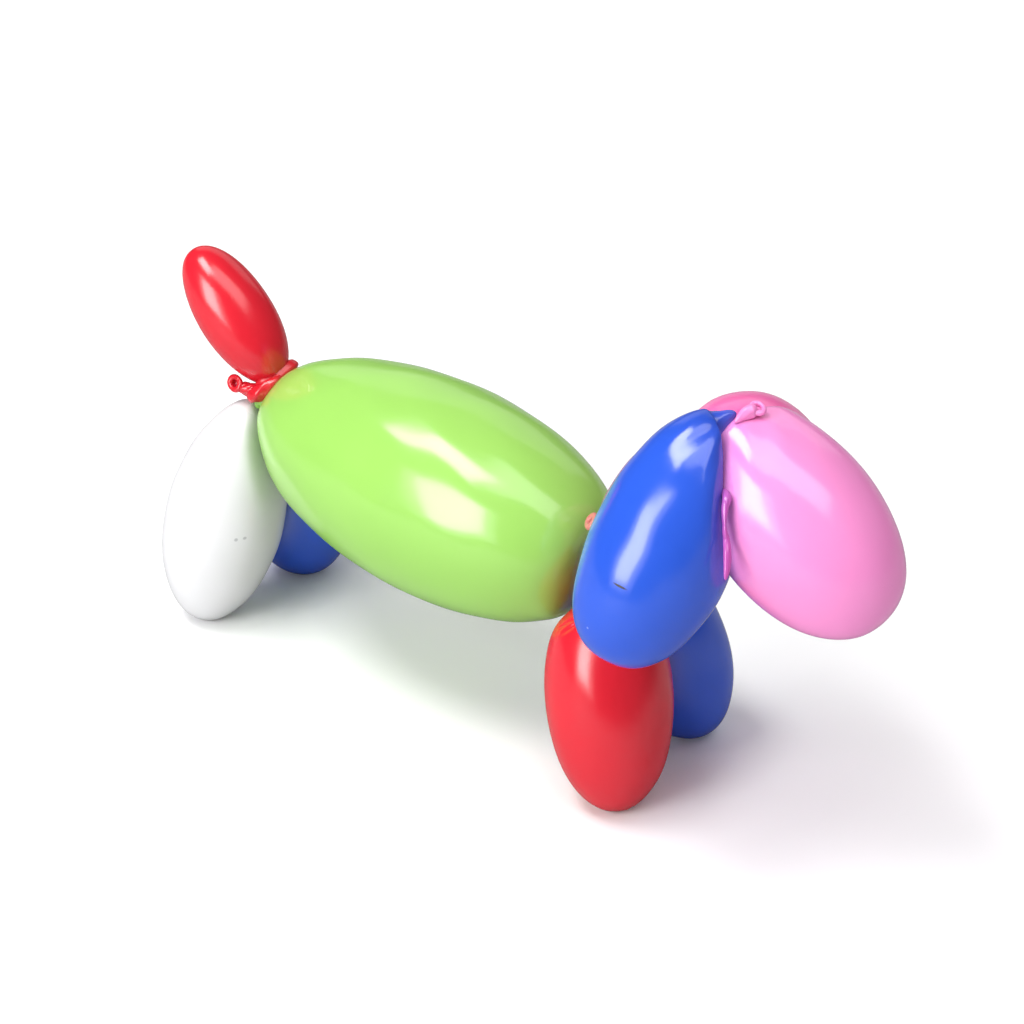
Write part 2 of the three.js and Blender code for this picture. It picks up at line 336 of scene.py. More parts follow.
@dataclass(frozen=True)
class Latex:
    """Glossy stretched latex with soft cloudy colour, fine dust and thicker slack parts.

    Attributes:
        pigment: Its colour.
        slot: The record's name of the material slot. It is not used.
        roughness: How dull the blown skin is.
        scatter: Share of the light that spreads inside the skin.
        cloud: How far the colour clouds over towards the deep one.
    """

    pigment: Pigment
    slot: str
    roughness: float = 0.165
    scatter: float = 0.2
    cloud: float = 0.10

    DUST_SCALE = 900.0
    HAZE_SCALE = 60.0
    CLOUD_SCALE = 22.0
    HAZE_DEPTH = 0.10
    SLACK_DULLNESS = 0.12
    SLACK_DEEPNESS = 0.8
    SCATTER_REACH = 2 * MM
    DUST_HEIGHT = 0.1 * MM

    def material(self, name: str, marks: tuple[Mark, ...] = ()) -> bpy.types.Material:
        """Makes the finish as a material.

        Args:
            name: The material's name.
            marks: Spots on this balloon alone.

        Returns:
            The material.
        """
        nodes = Nodes(name)
        here = nodes.add("ShaderNodeTexCoord").outputs["Object"]
        colour = self._skin_colour(nodes, here)
        for mark in marks:
            colour = self._with_mark(nodes, here, colour, mark)
        grain = nodes.add("ShaderNodeTexNoise", {"Vector": here, "Scale": self.DUST_SCALE, "Detail": 2.0})
        haze = nodes.add("ShaderNodeTexNoise", {"Vector": here, "Scale": self.HAZE_SCALE, "Detail": 3.0})
        slack = nodes.add("ShaderNodeAttribute", attribute_name="slack").outputs["Fac"]
        rough = nodes.math("MULTIPLY_ADD", haze.outputs["Fac"], self.HAZE_DEPTH)
        rough.node.inputs[2].default_value = self.roughness - self.HAZE_DEPTH / 2
        rough = nodes.math("ADD", rough, nodes.math("MULTIPLY", slack, self.SLACK_DULLNESS))
        bump = nodes.add("ShaderNodeBump", {
            "Height": grain.outputs["Fac"], "Strength": 0.04, "Distance": self.DUST_HEIGHT,
        })
        shader = nodes.add("ShaderNodeBsdfPrincipled", {
            "Base Color": colour,
            "Roughness": rough,
            "IOR": 1.5,
            "Specular IOR Level": 0.8,
            "Subsurface Weight": self.scatter,
            "Subsurface Radius": (1.0, 1.0, 1.0),
            "Subsurface Scale": self.SCATTER_REACH,
            "Normal": bump.outputs["Normal"],
        })
        nodes.add("ShaderNodeOutputMaterial", {"Surface": shader.outputs["BSDF"]})
        return nodes.material

    def _skin_colour(self, nodes: Nodes, here: bpy.types.NodeSocket) -> bpy.types.NodeSocket:
        """The colour of the skin: cloudy, deeper where slack, with the neighbours' colours painted in where
        they lie close, a painted reflection and bleed of their light.

        Args:
            nodes: The tree that is built.
            here: Object coordinates.

        Returns:
            The colour's socket.
        """
        lit = (*self.pigment.lit, 1.0)
        deep = (*self.pigment.deep, 1.0)
        clouds = nodes.add("ShaderNodeTexNoise", {
            "Vector": here, "Scale": self.CLOUD_SCALE, "Detail": 2.0, "Roughness": 0.4,
        })
        patchy = nodes.add("ShaderNodeMapRange", {0: clouds.outputs["Fac"], 1: 0.35, 2: 0.7, 4: self.cloud})
        slack = nodes.add("ShaderNodeAttribute", attribute_name="slack").outputs["Fac"]
        depth = nodes.math("ADD", patchy.outputs[0], nodes.math("MULTIPLY", slack, self.SLACK_DEEPNESS))
        depth.node.use_clamp = True
        # Painted reflection and bleed of neighbouring colours, and the trims' tints, laid over the skin
        # colour.
        painted_bleed = nodes.add("ShaderNodeAttribute", attribute_name="painted_bleed")
        return nodes.mix(painted_bleed.outputs["Alpha"], nodes.mix(depth, lit, deep), painted_bleed.outputs["Color"])

    @staticmethod
    def _with_mark(nodes: Nodes, here: bpy.types.NodeSocket, colour: bpy.types.NodeSocket,
                   mark: Mark) -> bpy.types.NodeSocket:
        """Lays one mark over the colour.

        Args:
            nodes: The tree that is built.
            here: Object coordinates.
            colour: The colour so far.
            mark: The mark.

        Returns:
            The colour with the mark.
        """
        local = nodes.add("ShaderNodeMapping", {
            "Vector": here, "Location": mark.place, "Rotation": mark.turn, "Scale": mark.half_sizes,
        }, vector_type="TEXTURE")
        length = nodes.add("ShaderNodeVectorMath", {0: local.outputs[0]}, operation="LENGTH")
        reach = length.outputs["Value"]
        inside = nodes.add("ShaderNodeMapRange", {0: reach, 1: 0.6, 2: 1.0, 3: 1.0, 4: 0.0}).outputs[0]
        return nodes.mix(inside, colour, (*mark.colour, 1.0))


@dataclass(frozen=True)
class Egg:
    """The form of a blown balloon.

    Attributes:
        length: From the tied end to the far end, in metres.
        radius: At the widest place, in metres.
        taper: Power by which the girth grows from the tied end.
        dome: Power by which it shrinks to the far end.
    """

    length: float
    radius: float
    taper: float
    dome: float

    def girth(self, share: np.ndarray) -> np.ndarray:
        """The radius at shares of the length.

        Args:
            share: From 0 at the tied end to 1 at the far end.

        Returns:
            The radii in metres.
        """
        share = np.clip(share, 0.0, 1.0)
        widest = self.taper / (self.taper + self.dome)
        return self.radius * (share / widest) ** self.taper * ((1 - share) / (1 - widest)) ** self.dome


@dataclass(frozen=True)
class Fold:
    """A soft crease between two places, or a ridge where its depth is negative, in millimetres.

    Attributes:
        start: Where it starts, as an offset from the hind knot's foot on the ground.
        end: Where it ends.
        depth: How far it draws the skin in.
        width: Half its width.
        fade: The share of its depth that is lost at the end.
    """

    start: tuple[float, float, float]
    end: tuple[float, float, float]
    depth: float
    width: float
    fade: float = 0.75

    def depth_at(self, places: np.ndarray) -> np.ndarray:
        """How far the fold draws the skin in.

        Args:
            places: One row each, in metres.

        Returns:
            Metres towards the balloon's axis.
        """
        start = np.array(self.start) * MM - ORIGIN
        run = np.array(self.end) * MM - ORIGIN - start
        along = np.clip((places - start) @ run / (run @ run), 0, 1)
        off = np.linalg.norm(places - start - np.outer(along, run), axis=1) / (self.width * MM)
        return self.depth * MM * np.exp(-off ** 2) * (1 - self.fade * along)


@dataclass
class Wall:
    """A flat side where a balloon is pressed.

    Attributes:
        facing: The direction out of the balloon.
        middle: A place on the wall, in metres.
        sharpness: How crisp the wall's edge is.
        gap: How far the skin stays short of the wall, in metres.
    """

    facing: np.ndarray
    middle: np.ndarray
    sharpness: float = 30
    gap: float = CLEARANCE / 2


@dataclass
class Slack:
    """Unblown latex drawn along a curve: a neck, a stem, a wound band or a flat end.

    Attributes:
        points: Places along the curve, in metres.
        girths: Half widths along it, in millimetres.
        facing: The direction that the front looks in.
        flat: Half the thickness in millimetres where it is flat, or zero where it is round.
        twist: How far the ripples turn along it, in radians.
        ripple: Depth of the ripples, as a share of the girth.
        lobes: Ripples round it.
        slackness: How thick and dull the latex is.
        tint: A colour laid over its pigment, with its strength; on the neck's stem it is a painted
            reflection.
        rings: Faces along it.
        sectors: Faces round it.
    """

    points: list[np.ndarray]
    girths: tuple[float, ...]
    facing: np.ndarray
    flat: float = 0.0
    twist: float = 0.0
    ripple: float = 0.10
    lobes: int = 3
    slackness: float = 0.45
    tint: tuple[float, float, float, float] = (0.0, 0.0, 0.0, 0.0)
    rings: int = 96
    sectors: int = 40

    STEPS_PER_SPAN = 24
    CAP_SQUARENESS = 5

    def build(self, name: str) -> bpy.types.Object:
        """Makes the skin from a sphere that is drawn out along the curve.

        Args:
            name: The object's name.

        Returns:
            The skin.
        """
        ball = new_ball(name, self.sectors, self.rings)
        round_ball = corners(ball)
        way = np.arccos(np.clip(round_ball[:, 2], -1, 1)) / math.pi
        bearing = np.arctan2(round_ball[:, 0], round_ball[:, 1])
        middle, tangent = self._curve(way)
        side = np.cross(tangent, self.facing)
        side /= np.linalg.norm(side, axis=1)[:, None]
        front = np.cross(side, tangent)
        spread = np.linspace(0, 1, len(self.girths))
        girth = np.interp(way, spread, self.girths) * MM
        cap = np.sqrt(np.clip(1 - np.abs(2 * way - 1) ** self.CAP_SQUARENESS, 0, None))
        turned = bearing * self.lobes + way * self.twist
        rippled = 1 + self.ripple * (np.sin(turned) + 0.5 * np.sin(2.3 * turned + 1.3 + 9 * way))
        thick = np.full_like(girth, self.flat * MM) if self.flat else girth
        places = middle
        places = places + side * (np.sin(bearing) * girth * cap * rippled)[:, None]
        places = places + front * (np.cos(bearing) * thick * cap * rippled)[:, None]
        move_corners(ball, places)
        return ball

    def _curve(self, way: np.ndarray) -> tuple[np.ndarray, np.ndarray]:
        """Places and directions along a smooth curve through the points.

        Args:
            way: Shares of the way.

        Returns:
            The places and the unit tangents.
        """
        line = np.array(self.points)
        line = np.vstack([2 * line[0] - line[1], line, 2 * line[-1] - line[-2]])
        fine = []
        for a, b, c, d in zip(line, line[1:], line[2:], line[3:]):
            for s in np.linspace(0, 1, self.STEPS_PER_SPAN, endpoint=False):
                fine.append(0.5 * (2 * b + (c - a) * s + (2 * a - 5 * b + 4 * c - d) * s ** 2
                                   + (3 * b - a - 3 * c + d) * s ** 3))
        fine = np.array(fine + [line[-2]])
        run = np.concatenate([[0], np.cumsum(np.linalg.norm(np.diff(fine, axis=0), axis=1))])
        run /= run[-1]
        slopes = np.gradient(fine, run, axis=0)
        places = np.stack([np.interp(way, run, fine[:, k]) for k in range(3)], axis=1)
        tangents = np.stack([np.interp(way, run, slopes[:, k]) for k in range(3)], axis=1)
        return places, tangents / np.linalg.norm(tangents, axis=1)[:, None]


@dataclass
class Mouth:
    """A balloon's rolled mouth: a thick ring round a hole, on a short funnel.

    Attributes:
        place: The ring's middle, in metres.
        facing: The direction that the hole looks in.
        radius: The ring's outer radius, in millimetres.
        roll: The roll's own radius, in millimetres.
        hole: Depth of the hole, in millimetres.
        funnel: Length of the funnel behind, in millimetres.
        squash: How far the ring is out of round.
        slackness: How thick and dull the latex is.
        tint: A colour laid over its pigment, with its strength; on the neck's mouth it is a painted
            reflection.
    """

    place: np.ndarray
    facing: np.ndarray
    radius: float
    roll: float
    hole: float = 1.6
    funnel: float = 2.2
    squash: float = 0.12
    slackness: float = 0.45
    tint: tuple[float, float, float, float] = (0.0, 0.0, 0.0, 0.0)

    SECTORS = 48
    RINGS = 60
    ROLL_TURNS = np.radians(np.linspace(-75, 215, 20))

    def build(self, name: str) -> bpy.types.Object:
        """Makes the ring from a sphere: its back is the funnel and its front the hole.

        Args:
            name: The object's name.

        Returns:
            The ring.
        """
        ball = new_ball(name, self.SECTORS, self.RINGS)
        round_ball = corners(ball)
        way = np.arccos(np.clip(-round_ball[:, 2], -1, 1)) / math.pi
        bearing = np.arctan2(round_ball[:, 0], round_ball[:, 1])
        rim = self.radius - self.roll
        outline = [(0.0, -self.funnel), (0.45 * rim, -self.funnel * 0.9)]
        for turn in self.ROLL_TURNS:
            outline.append((rim + self.roll * math.cos(turn), self.roll * math.sin(turn)))
        outline += [(0.35 * rim, -self.hole), (0.0, -self.hole)]
        outline = np.array(outline) * MM
        run = np.concatenate([[0], np.cumsum(np.linalg.norm(np.diff(outline, axis=0), axis=1))])
        reach = np.interp(way, run / run[-1], outline[:, 0])
        height = np.interp(way, run / run[-1], outline[:, 1])
        uneven = 1 + self.squash * np.cos(2 * bearing)
        axis = unit(self.facing)
        first = unit(np.cross(axis, np.array([0.31, 0.12, 1.0])))
        second = np.cross(axis, first)
        places = self.place + axis * height[:, None]
        places = places + first * (reach * uneven * np.cos(bearing))[:, None]
        places = places - second * (reach * uneven * np.sin(bearing))[:, None]
        move_corners(ball, places)
        return ball


@dataclass
class Balloon:
    """One blown and tied balloon, with what sticks out of its knot.

    Attributes:
        name: The CAD node that it takes the place of.
        finish: Its latex.
        egg: Its form when nothing presses it.
        tied_end: Where it is tied, in metres.
        heading: Degrees from +X towards +Y.
        droop: Degrees below level.
        firmness: How well it holds its form against its neighbours.
        stands: Whether the ground flattens it.
        folds: Its creases and ridges.
        keeps_form_against: Names of the balloons that mould round it.
        bleed_weight: How strongly its neighbours' colours are painted on it, as a painted reflection and
            bleed of their light.
        sectors: Faces round it.
        rings: Faces from end to end.
        marks: Spots on its skin.
        trims: Slack parts and mouths.
        walls: Flat sides, filled in by press_together.
        yields_to: The balloons that it moulds round, filled in by press_together.
    """

    name: str
    finish: Latex
    egg: Egg
    tied_end: np.ndarray
    heading: float
    droop: float
    firmness: float = 1.0
    stands: bool = False
    folds: tuple[Fold, ...] = ()
    keeps_form_against: tuple[str, ...] = ()
    bleed_weight: float = 1.0
    sectors: int = 160
    rings: int = 128
    marks: tuple[Mark, ...] = ()
    trims: list[Slack | Mouth] = field(default_factory=list)
    walls: list[Wall] = field(default_factory=list)
    yields_to: list["Balloon"] = field(default_factory=list)

    PLEATS = 5
    PLEAT_DEPTH = 0.05
    PLEAT_REACH = 0.12
    CAP_RINGS = 16
    CAP_SECTORS = 20
    GROUND_SHARPNESS = 110
    MOULD_SHARPNESS = 40
    SEAM = -0.25 * MM
    FAR = 9.0
    SEARCH = np.linspace(1.3, 0.3, 41)
    HALVINGS = 12
    UNEVENNESS = 0.2 * MM
    SLACK_REACH = 6 * MM
    # Reach, strength and share of the painted reflection and bleed of neighbouring colours.
    BLEED_REACH = 2.8 * MM
    BLEED_STRENGTH = 0.5
    BLEED_SHARE = 0.45

    def __post_init__(self) -> None:
        """Works out the direction, the core and the turn that takes +Y to the direction."""
        self.direction = aim(self.heading, self.droop)
        self.core = self.tied_end + self.direction * self.egg.length / 2
        turn = Vector((0, 1, 0)).rotation_difference(Vector(self.direction))
        self.turn = np.array(turn.to_matrix())
        if self.stands:
            ground = np.array([self.core[0], self.core[1], 0.0])
            self.walls.append(Wall(np.array([0.0, 0.0, -1.0]), ground, self.GROUND_SHARPNESS, 0.0))

    def free_skin(self, share: np.ndarray, bearing: np.ndarray) -> np.ndarray:
        """Places on the balloon as if nothing pressed it.

        Args:
            share: Shares of the length, from the tied end.
            bearing: Angles round the axis.

        Returns:
            One row for each place.
        """
        depth = self.PLEAT_DEPTH * np.exp(-share / self.PLEAT_REACH)
        girth = self.egg.girth(share) * (1 - depth * (1 - np.cos(self.PLEATS * bearing)))
        local = np.stack([girth * np.sin(bearing), share * self.egg.length, girth * np.cos(bearing)], axis=1)
        return self.tied_end + local @ self.turn.T

    def gap_to(self, places: np.ndarray) -> np.ndarray:
        """How far places lie outside the free balloon, negative inside.

        Args:
            places: One row each.

        Returns:
            Metres, measured square to the axis.
        """
        arm = places - self.tied_end
        run = arm @ self.direction
        share = run / self.egg.length
        beyond = np.maximum(np.maximum(-run, run - self.egg.length), 0)
        out = np.sqrt(np.maximum((arm ** 2).sum(axis=1) - run ** 2, 0)) - self.egg.girth(share)
        return np.where(beyond > 0, np.hypot(np.maximum(out, 0), beyond) + CLEARANCE, out)

    def cap_middle(self, other: "Balloon") -> np.ndarray | None:
        """The middle of the cap by which this balloon would sink into another.

        Args:
            other: The balloon that it meets.

        Returns:
            The middle, or None where they don't meet.
        """
        share = 0.5 - 0.5 * np.cos(math.pi * np.arange(self.CAP_RINGS + 1) / self.CAP_RINGS)
        turns = [2 * math.pi * k / self.CAP_SECTORS for k in range(self.CAP_SECTORS)]
        grid = [(share[0], 0.0), (share[-1], 0.0), *product(share[1:-1], turns)]
        skin = self.free_skin(*np.array(grid).T)
        sunk = skin[other.gap_to(skin) < CLEARANCE]
        return sunk.mean(axis=0) if len(sunk) else None

    def press(self, places: np.ndarray) -> np.ndarray:
        """Draws places towards the core so that none passes a wall.

        Args:
            places: One row each.

        Returns:
            The places on the pressed balloon.
        """
        arm = places - self.core
        for sharpness in sorted({wall.sharpness for wall in self.walls}):
            strain = np.zeros(len(arm))
            for wall in self.walls:
                if wall.sharpness == sharpness:
                    room = (wall.middle - self.core) @ wall.facing - wall.gap
                    strain += np.maximum(arm @ wall.facing / room, 0) ** sharpness
            arm = arm * ((1 + strain) ** (-1 / sharpness))[:, None]
        return self.core + arm

    def folded_gap_to(self, places: np.ndarray) -> np.ndarray:
        """How far places lie outside the balloon with its folds, negative inside.

        Args:
            places: One row each.

        Returns:
            Metres, measured square to the axis.
        """
        gap = self.gap_to(places)
        for fold in self.folds:
            gap = gap + fold.depth_at(places)
        return gap

    def give_way(self, places: np.ndarray) -> np.ndarray:
        """Draws places towards the core until they are clear of firmer neighbours.

        Args:
            places: One row each.

        Returns:
            The places, moulded round those neighbours with a rounded edge.
        """
        arm = places - self.core
        for other in self.yields_to:
            reach = np.full(len(arm), self.FAR)
            for step in self.SEARCH:
                met = other.folded_gap_to(self.core + arm * step) < self.SEAM
                reach = np.where(met, step, reach)
            low, high = reach + (self.SEARCH[1] - self.SEARCH[0]), reach
            for _ in range(self.HALVINGS):
                half = (low + high) / 2
                clear = other.folded_gap_to(self.core + arm * half[:, None]) >= self.SEAM
                low, high = np.where(clear, half, low), np.where(clear, high, half)
            strain = np.minimum(1 / low, self.FAR) ** self.MOULD_SHARPNESS
            arm = arm * ((1 + strain) ** (-1 / self.MOULD_SHARPNESS))[:, None]
        return self.core + arm

    def bulb(self) -> bpy.types.Object:
        """Makes the blown part from a sphere.

        Returns:
            The blown part, with its slack attribute.
        """
        ball = new_ball(self.name + "_latex", self.sectors, self.rings)
        round_ball = corners(ball)
        share = (1 - round_ball[:, 2]) / 2
        bearing = np.arctan2(round_ball[:, 0], round_ball[:, 1])
        places = self.give_way(self.press(self._folded(share, bearing)))
        move_corners(ball, places)
        write_attribute(ball, "slack", 0.9 * np.exp(-share * self.egg.length / self.SLACK_REACH))
        return ball

    def _folded(self, share: np.ndarray, bearing: np.ndarray) -> np.ndarray:
        """The free skin with its folds and its slight unevenness.

        Args:
            share: Shares of the length, from the tied end.
            bearing: Angles round the axis.

        Returns:
            One row for each place.
        """
        skin = self.free_skin(share, bearing)
        on_axis = self.tied_end + np.outer(share * self.egg.length, self.direction)
        wave = np.sin(170 * skin[:, 0] + 81 * skin[:, 2] + 1) * np.sin(193 * skin[:, 1] + 97 * skin[:, 2])
        drawn_in = -self.UNEVENNESS * wave
        for fold in self.folds:
            drawn_in = drawn_in + fold.depth_at(skin)
        girth = self.egg.girth(share)
        shrink = 1 - drawn_in * np.clip(girth / (4 * MM), 0, 1) / np.maximum(girth, 1 * MM)
        return on_axis + (skin - on_axis) * shrink[:, None]

    def build(self, neighbours: list["Balloon"]) -> bpy.types.Object:
        """Makes the whole piece: blown part and trims in one mesh.

        Args:
            neighbours: The balloons that may tint it where they lie close.

        Returns:
            The piece.
        """
        piece = self.bulb()
        slack_parts = [trim.build(f"{self.name}_trim_{k}") for k, trim in enumerate(self.trims)]
        write_attribute(piece, "tint", np.zeros((len(piece.data.vertices), 4)))
        for part, trim in zip(slack_parts, self.trims):
            count = len(part.data.vertices)
            write_attribute(part, "slack", np.full(count, trim.slackness))
            write_attribute(part, "tint", np.tile(trim.tint, (count, 1)))
        if slack_parts:
            bpy.ops.object.select_all(action="DESELECT")
            for part in [*slack_parts, piece]:
                part.select_set(True)
            bpy.context.view_layer.objects.active = piece
            bpy.ops.object.join()
        write_attribute(piece, "painted_bleed", self._painted_bleed(piece, neighbours))
        return piece

    def _painted_bleed(self, piece: bpy.types.Object, neighbours: list["Balloon"]) -> np.ndarray:
        """The neighbours' colours painted on the skin where they lie close, a painted reflection and bleed of
        their light, or the tint that a trim carries.

        Args:
            piece: The joined mesh, with its slack and tint attributes.
            neighbours: The other balloons.

        Returns:
            Red, green, blue and strength for each vertex.
        """
        places = corners(piece)
        slack = read_attribute(piece, "slack")
        tint = read_attribute(piece, "tint")
        total = np.zeros(len(places))
        colour = np.zeros((len(places), 3))
        for other in neighbours:
            strength = self.BLEED_STRENGTH * np.exp(-np.maximum(other.gap_to(places), 0) / self.BLEED_REACH)
            colour += strength[:, None] * np.array(other.finish.pigment.lit)
            total += strength
        colour /= np.maximum(total, 1e-6)[:, None]
        share = self.BLEED_SHARE * self.bleed_weight * np.minimum(total, 1.0) * np.clip(1 - 2 * slack, 0, 1)
        return np.where(tint[:, 3:] > 0, tint, np.column_stack([colour, share]))

    def dress(self, piece: bpy.types.Object) -> None:
        """Gives the piece its finish and puts it in the place of its CAD node.

        Args:
            piece: The built piece.
        """
        piece.data.materials.clear()
        piece.data.materials.append(self.finish.material(self.name + "_skin", self.marks))
        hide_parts(self.name)
        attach(piece, "root")


def press_together(a: Balloon, b: Balloon, knot: np.ndarray) -> None:
    """Gives two balloons of one knot the flat wall on which they press.

    Args:
        a: One balloon.
        b: The other.
        knot: Where they are tied.
    """
    cap_of_a = a.cap_middle(b)
    cap_of_b = b.cap_middle(a)
    if cap_of_a is None or cap_of_b is None:
        return
    middle = cap_of_a + (cap_of_b - cap_of_a) * b.firmness / (a.firmness + b.firmness)
    run = unit(middle - knot)
    facing = b.core - a.core
    facing = unit(facing - run * (facing @ run))
    for one, other, out in ((a, b, facing), (b, a, -facing)):
        if other.name in one.keeps_form_against:
            other.yields_to.append(one)
        elif one.name not in other.keeps_form_against:
            one.walls.append(Wall(out, middle))


GREEN_LATEX = Latex(Pigment.GREEN, "green_latex")
RED_LATEX = Latex(Pigment.RED, "red_latex", roughness=0.21)
WHITE_LATEX = Latex(Pigment.WHITE, "white_latex", roughness=0.22, cloud=0.3)
BLUE_LATEX = Latex(Pigment.BLUE, "blue_latex", scatter=0.1)
MAGENTA_LATEX = Latex(Pigment.MAGENTA, "magenta_latex")
HOT_PINK_LATEX = Latex(Pigment.HOT_PINK, "hot_pink_latex")
PINK_LATEX = Latex(Pigment.PINK, "pink_latex")


class SubAssembly:
    """Balloons that belong together; its sizes are the fields of each kind."""

    def __post_init__(self) -> None:
        """Lays out the balloons, which press on each other before they are built."""
        self.balloons = self.lay_out()
        self.pieces: dict[str, bpy.types.Object] = {}

    def lay_out(self) -> list[Balloon]:
        """Gives the balloons their sizes and places.

        Returns:
            The balloons, in the order in which they are built.
        """
        raise NotImplementedError

    def build(self, everyone: list[Balloon]) -> None:
        """Makes the mesh of each balloon.

        Args:
            everyone: All the dog's balloons.
        """
        for balloon in self.balloons:
            piece = balloon.build([other for other in everyone if other is not balloon])
            self.pieces[balloon.name] = piece
            log.info("%s: %d faces, %d walls", piece.name, len(piece.data.polygons), len(balloon.walls))

    def dress(self) -> None:
        """Gives each balloon its finish and the place of its CAD node."""
        for balloon in self.balloons:
            balloon.dress(self.pieces[balloon.name])


@dataclass
class Hindquarters(SubAssembly):
    """The two hind legs and the tail, tied to the trunk's hind end."""

    leg_length: float = 99.5 * MM
    leg_radius: float = 24.7 * MM
    tail_length: float = 64.4 * MM
    tail_radius: float = 15.4 * MM

    def lay_out(self) -> list[Balloon]:
        """The balloons of this sub-assembly.

        Returns:
            Right leg, left leg and tail.
        """
        speck = (0.5, 0.5, 0.52)
        right = Balloon(
            "hind_leg_right", WHITE_LATEX, Egg(self.leg_length, self.leg_radius, 0.57, 0.51),
            near(HIND_KNOT, -1.7, -8, -1.5), -104, 72.5, stands=True,
            marks=(
                Mark(spot(14.7, -37.3, 46.9), (0.0006, 0.002, 0.0009), (0, 0, 0), speck),
                Mark(spot(16.6, -34.0, 47.0), (0.0005, 0.002, 0.0008), (0, 0, 0), speck),
            ),
        )
        left = Balloon(
            "hind_leg_left", BLUE_LATEX, Egg(self.leg_length, self.leg_radius, 0.62, 0.49),
            near(HIND_KNOT, 2.2, 8, 1.5), 112, 81.3, stands=True,
        )
        tail = Balloon(
            "tail", RED_LATEX, Egg(self.tail_length, self.tail_radius, 0.47, 0.47),
            near(HIND_KNOT, 6.1, 0, 6.6), -177.5, -47, trims=self._wound_neck(),
        )
        return [right, left, tail]

    @staticmethod
    def _wound_neck() -> list[Slack | Mouth]:
        """The tail's neck, wound round the hind knot, and its rolled mouth behind.

        Returns:
            Its strands, its stem and its mouth.
        """
        across = np.array([0.6, -0.5, 0.6])
        lower = path(HIND_KNOT, (-0.5, -11, 1.6), (4.5, -9.7, 4.6), (8.6, -5.5, 8.5), (9.8, 0, 10.4))
        upper = path(HIND_KNOT, (1, -9, 4.5), (5, -6.6, 7.6), (8, -2, 10), (8.2, 4.5, 11.4), (6.5, 9.5, 11))
        stem = path(HIND_KNOT, (3, -9, 4.6), (-2, -10.7, 4.6), (-5.2, -11.4, 5.2))
        return [
            Slack(lower, (3.4, 3.9, 2.7, 1.6), across, twist=4, ripple=0.12, lobes=2),
            Slack(upper, (2.8, 3.0, 2.4, 2.5, 3.3, 2.8), across, twist=-5, ripple=0.14, lobes=2),
            Slack(stem, (3.4, 3.0, 2.7, 2.6), np.array([0.0, 0.0, -1.0]), twist=3, ripple=0.08),
            Mouth(near(HIND_KNOT, -6.8, -12.2, 6.2), np.array([-0.05, -0.85, 0.5]), 3.9, 1.2, hole=3.2),
        ]


@dataclass
class Trunk(SubAssembly):
    """The big balloon between the knots."""

    length: float = 173.0 * MM
    radius: float = 43.2 * MM

    def lay_out(self) -> list[Balloon]:
        """The one balloon of the trunk.

        Returns:
            The trunk, with its tied green stub and its bulge beside the red leg.
        """
        egg = Egg(self.length, self.radius, 0.462, 0.401)
        tied = path(HIND_KNOT, (10, -5, -2), (4, -7.8, 0), (2.4, -8.6, -3.5))
        stub = Slack(tied, (4, 3.2, 2.2), np.array([0.0, -1.0, 0.0]), twist=3)
        bulge = Fold((164.8, -12.7, 66.3), (176.8, -9.7, 68.3), -2.4, 9.0, 0.0)
        return [Balloon(
            "body", GREEN_LATEX, egg, near(HIND_KNOT, 2.1, 0, -6), 0, 3.15,
            firmness=4, trims=[stub], folds=(bulge,), bleed_weight=0.12,
        )]


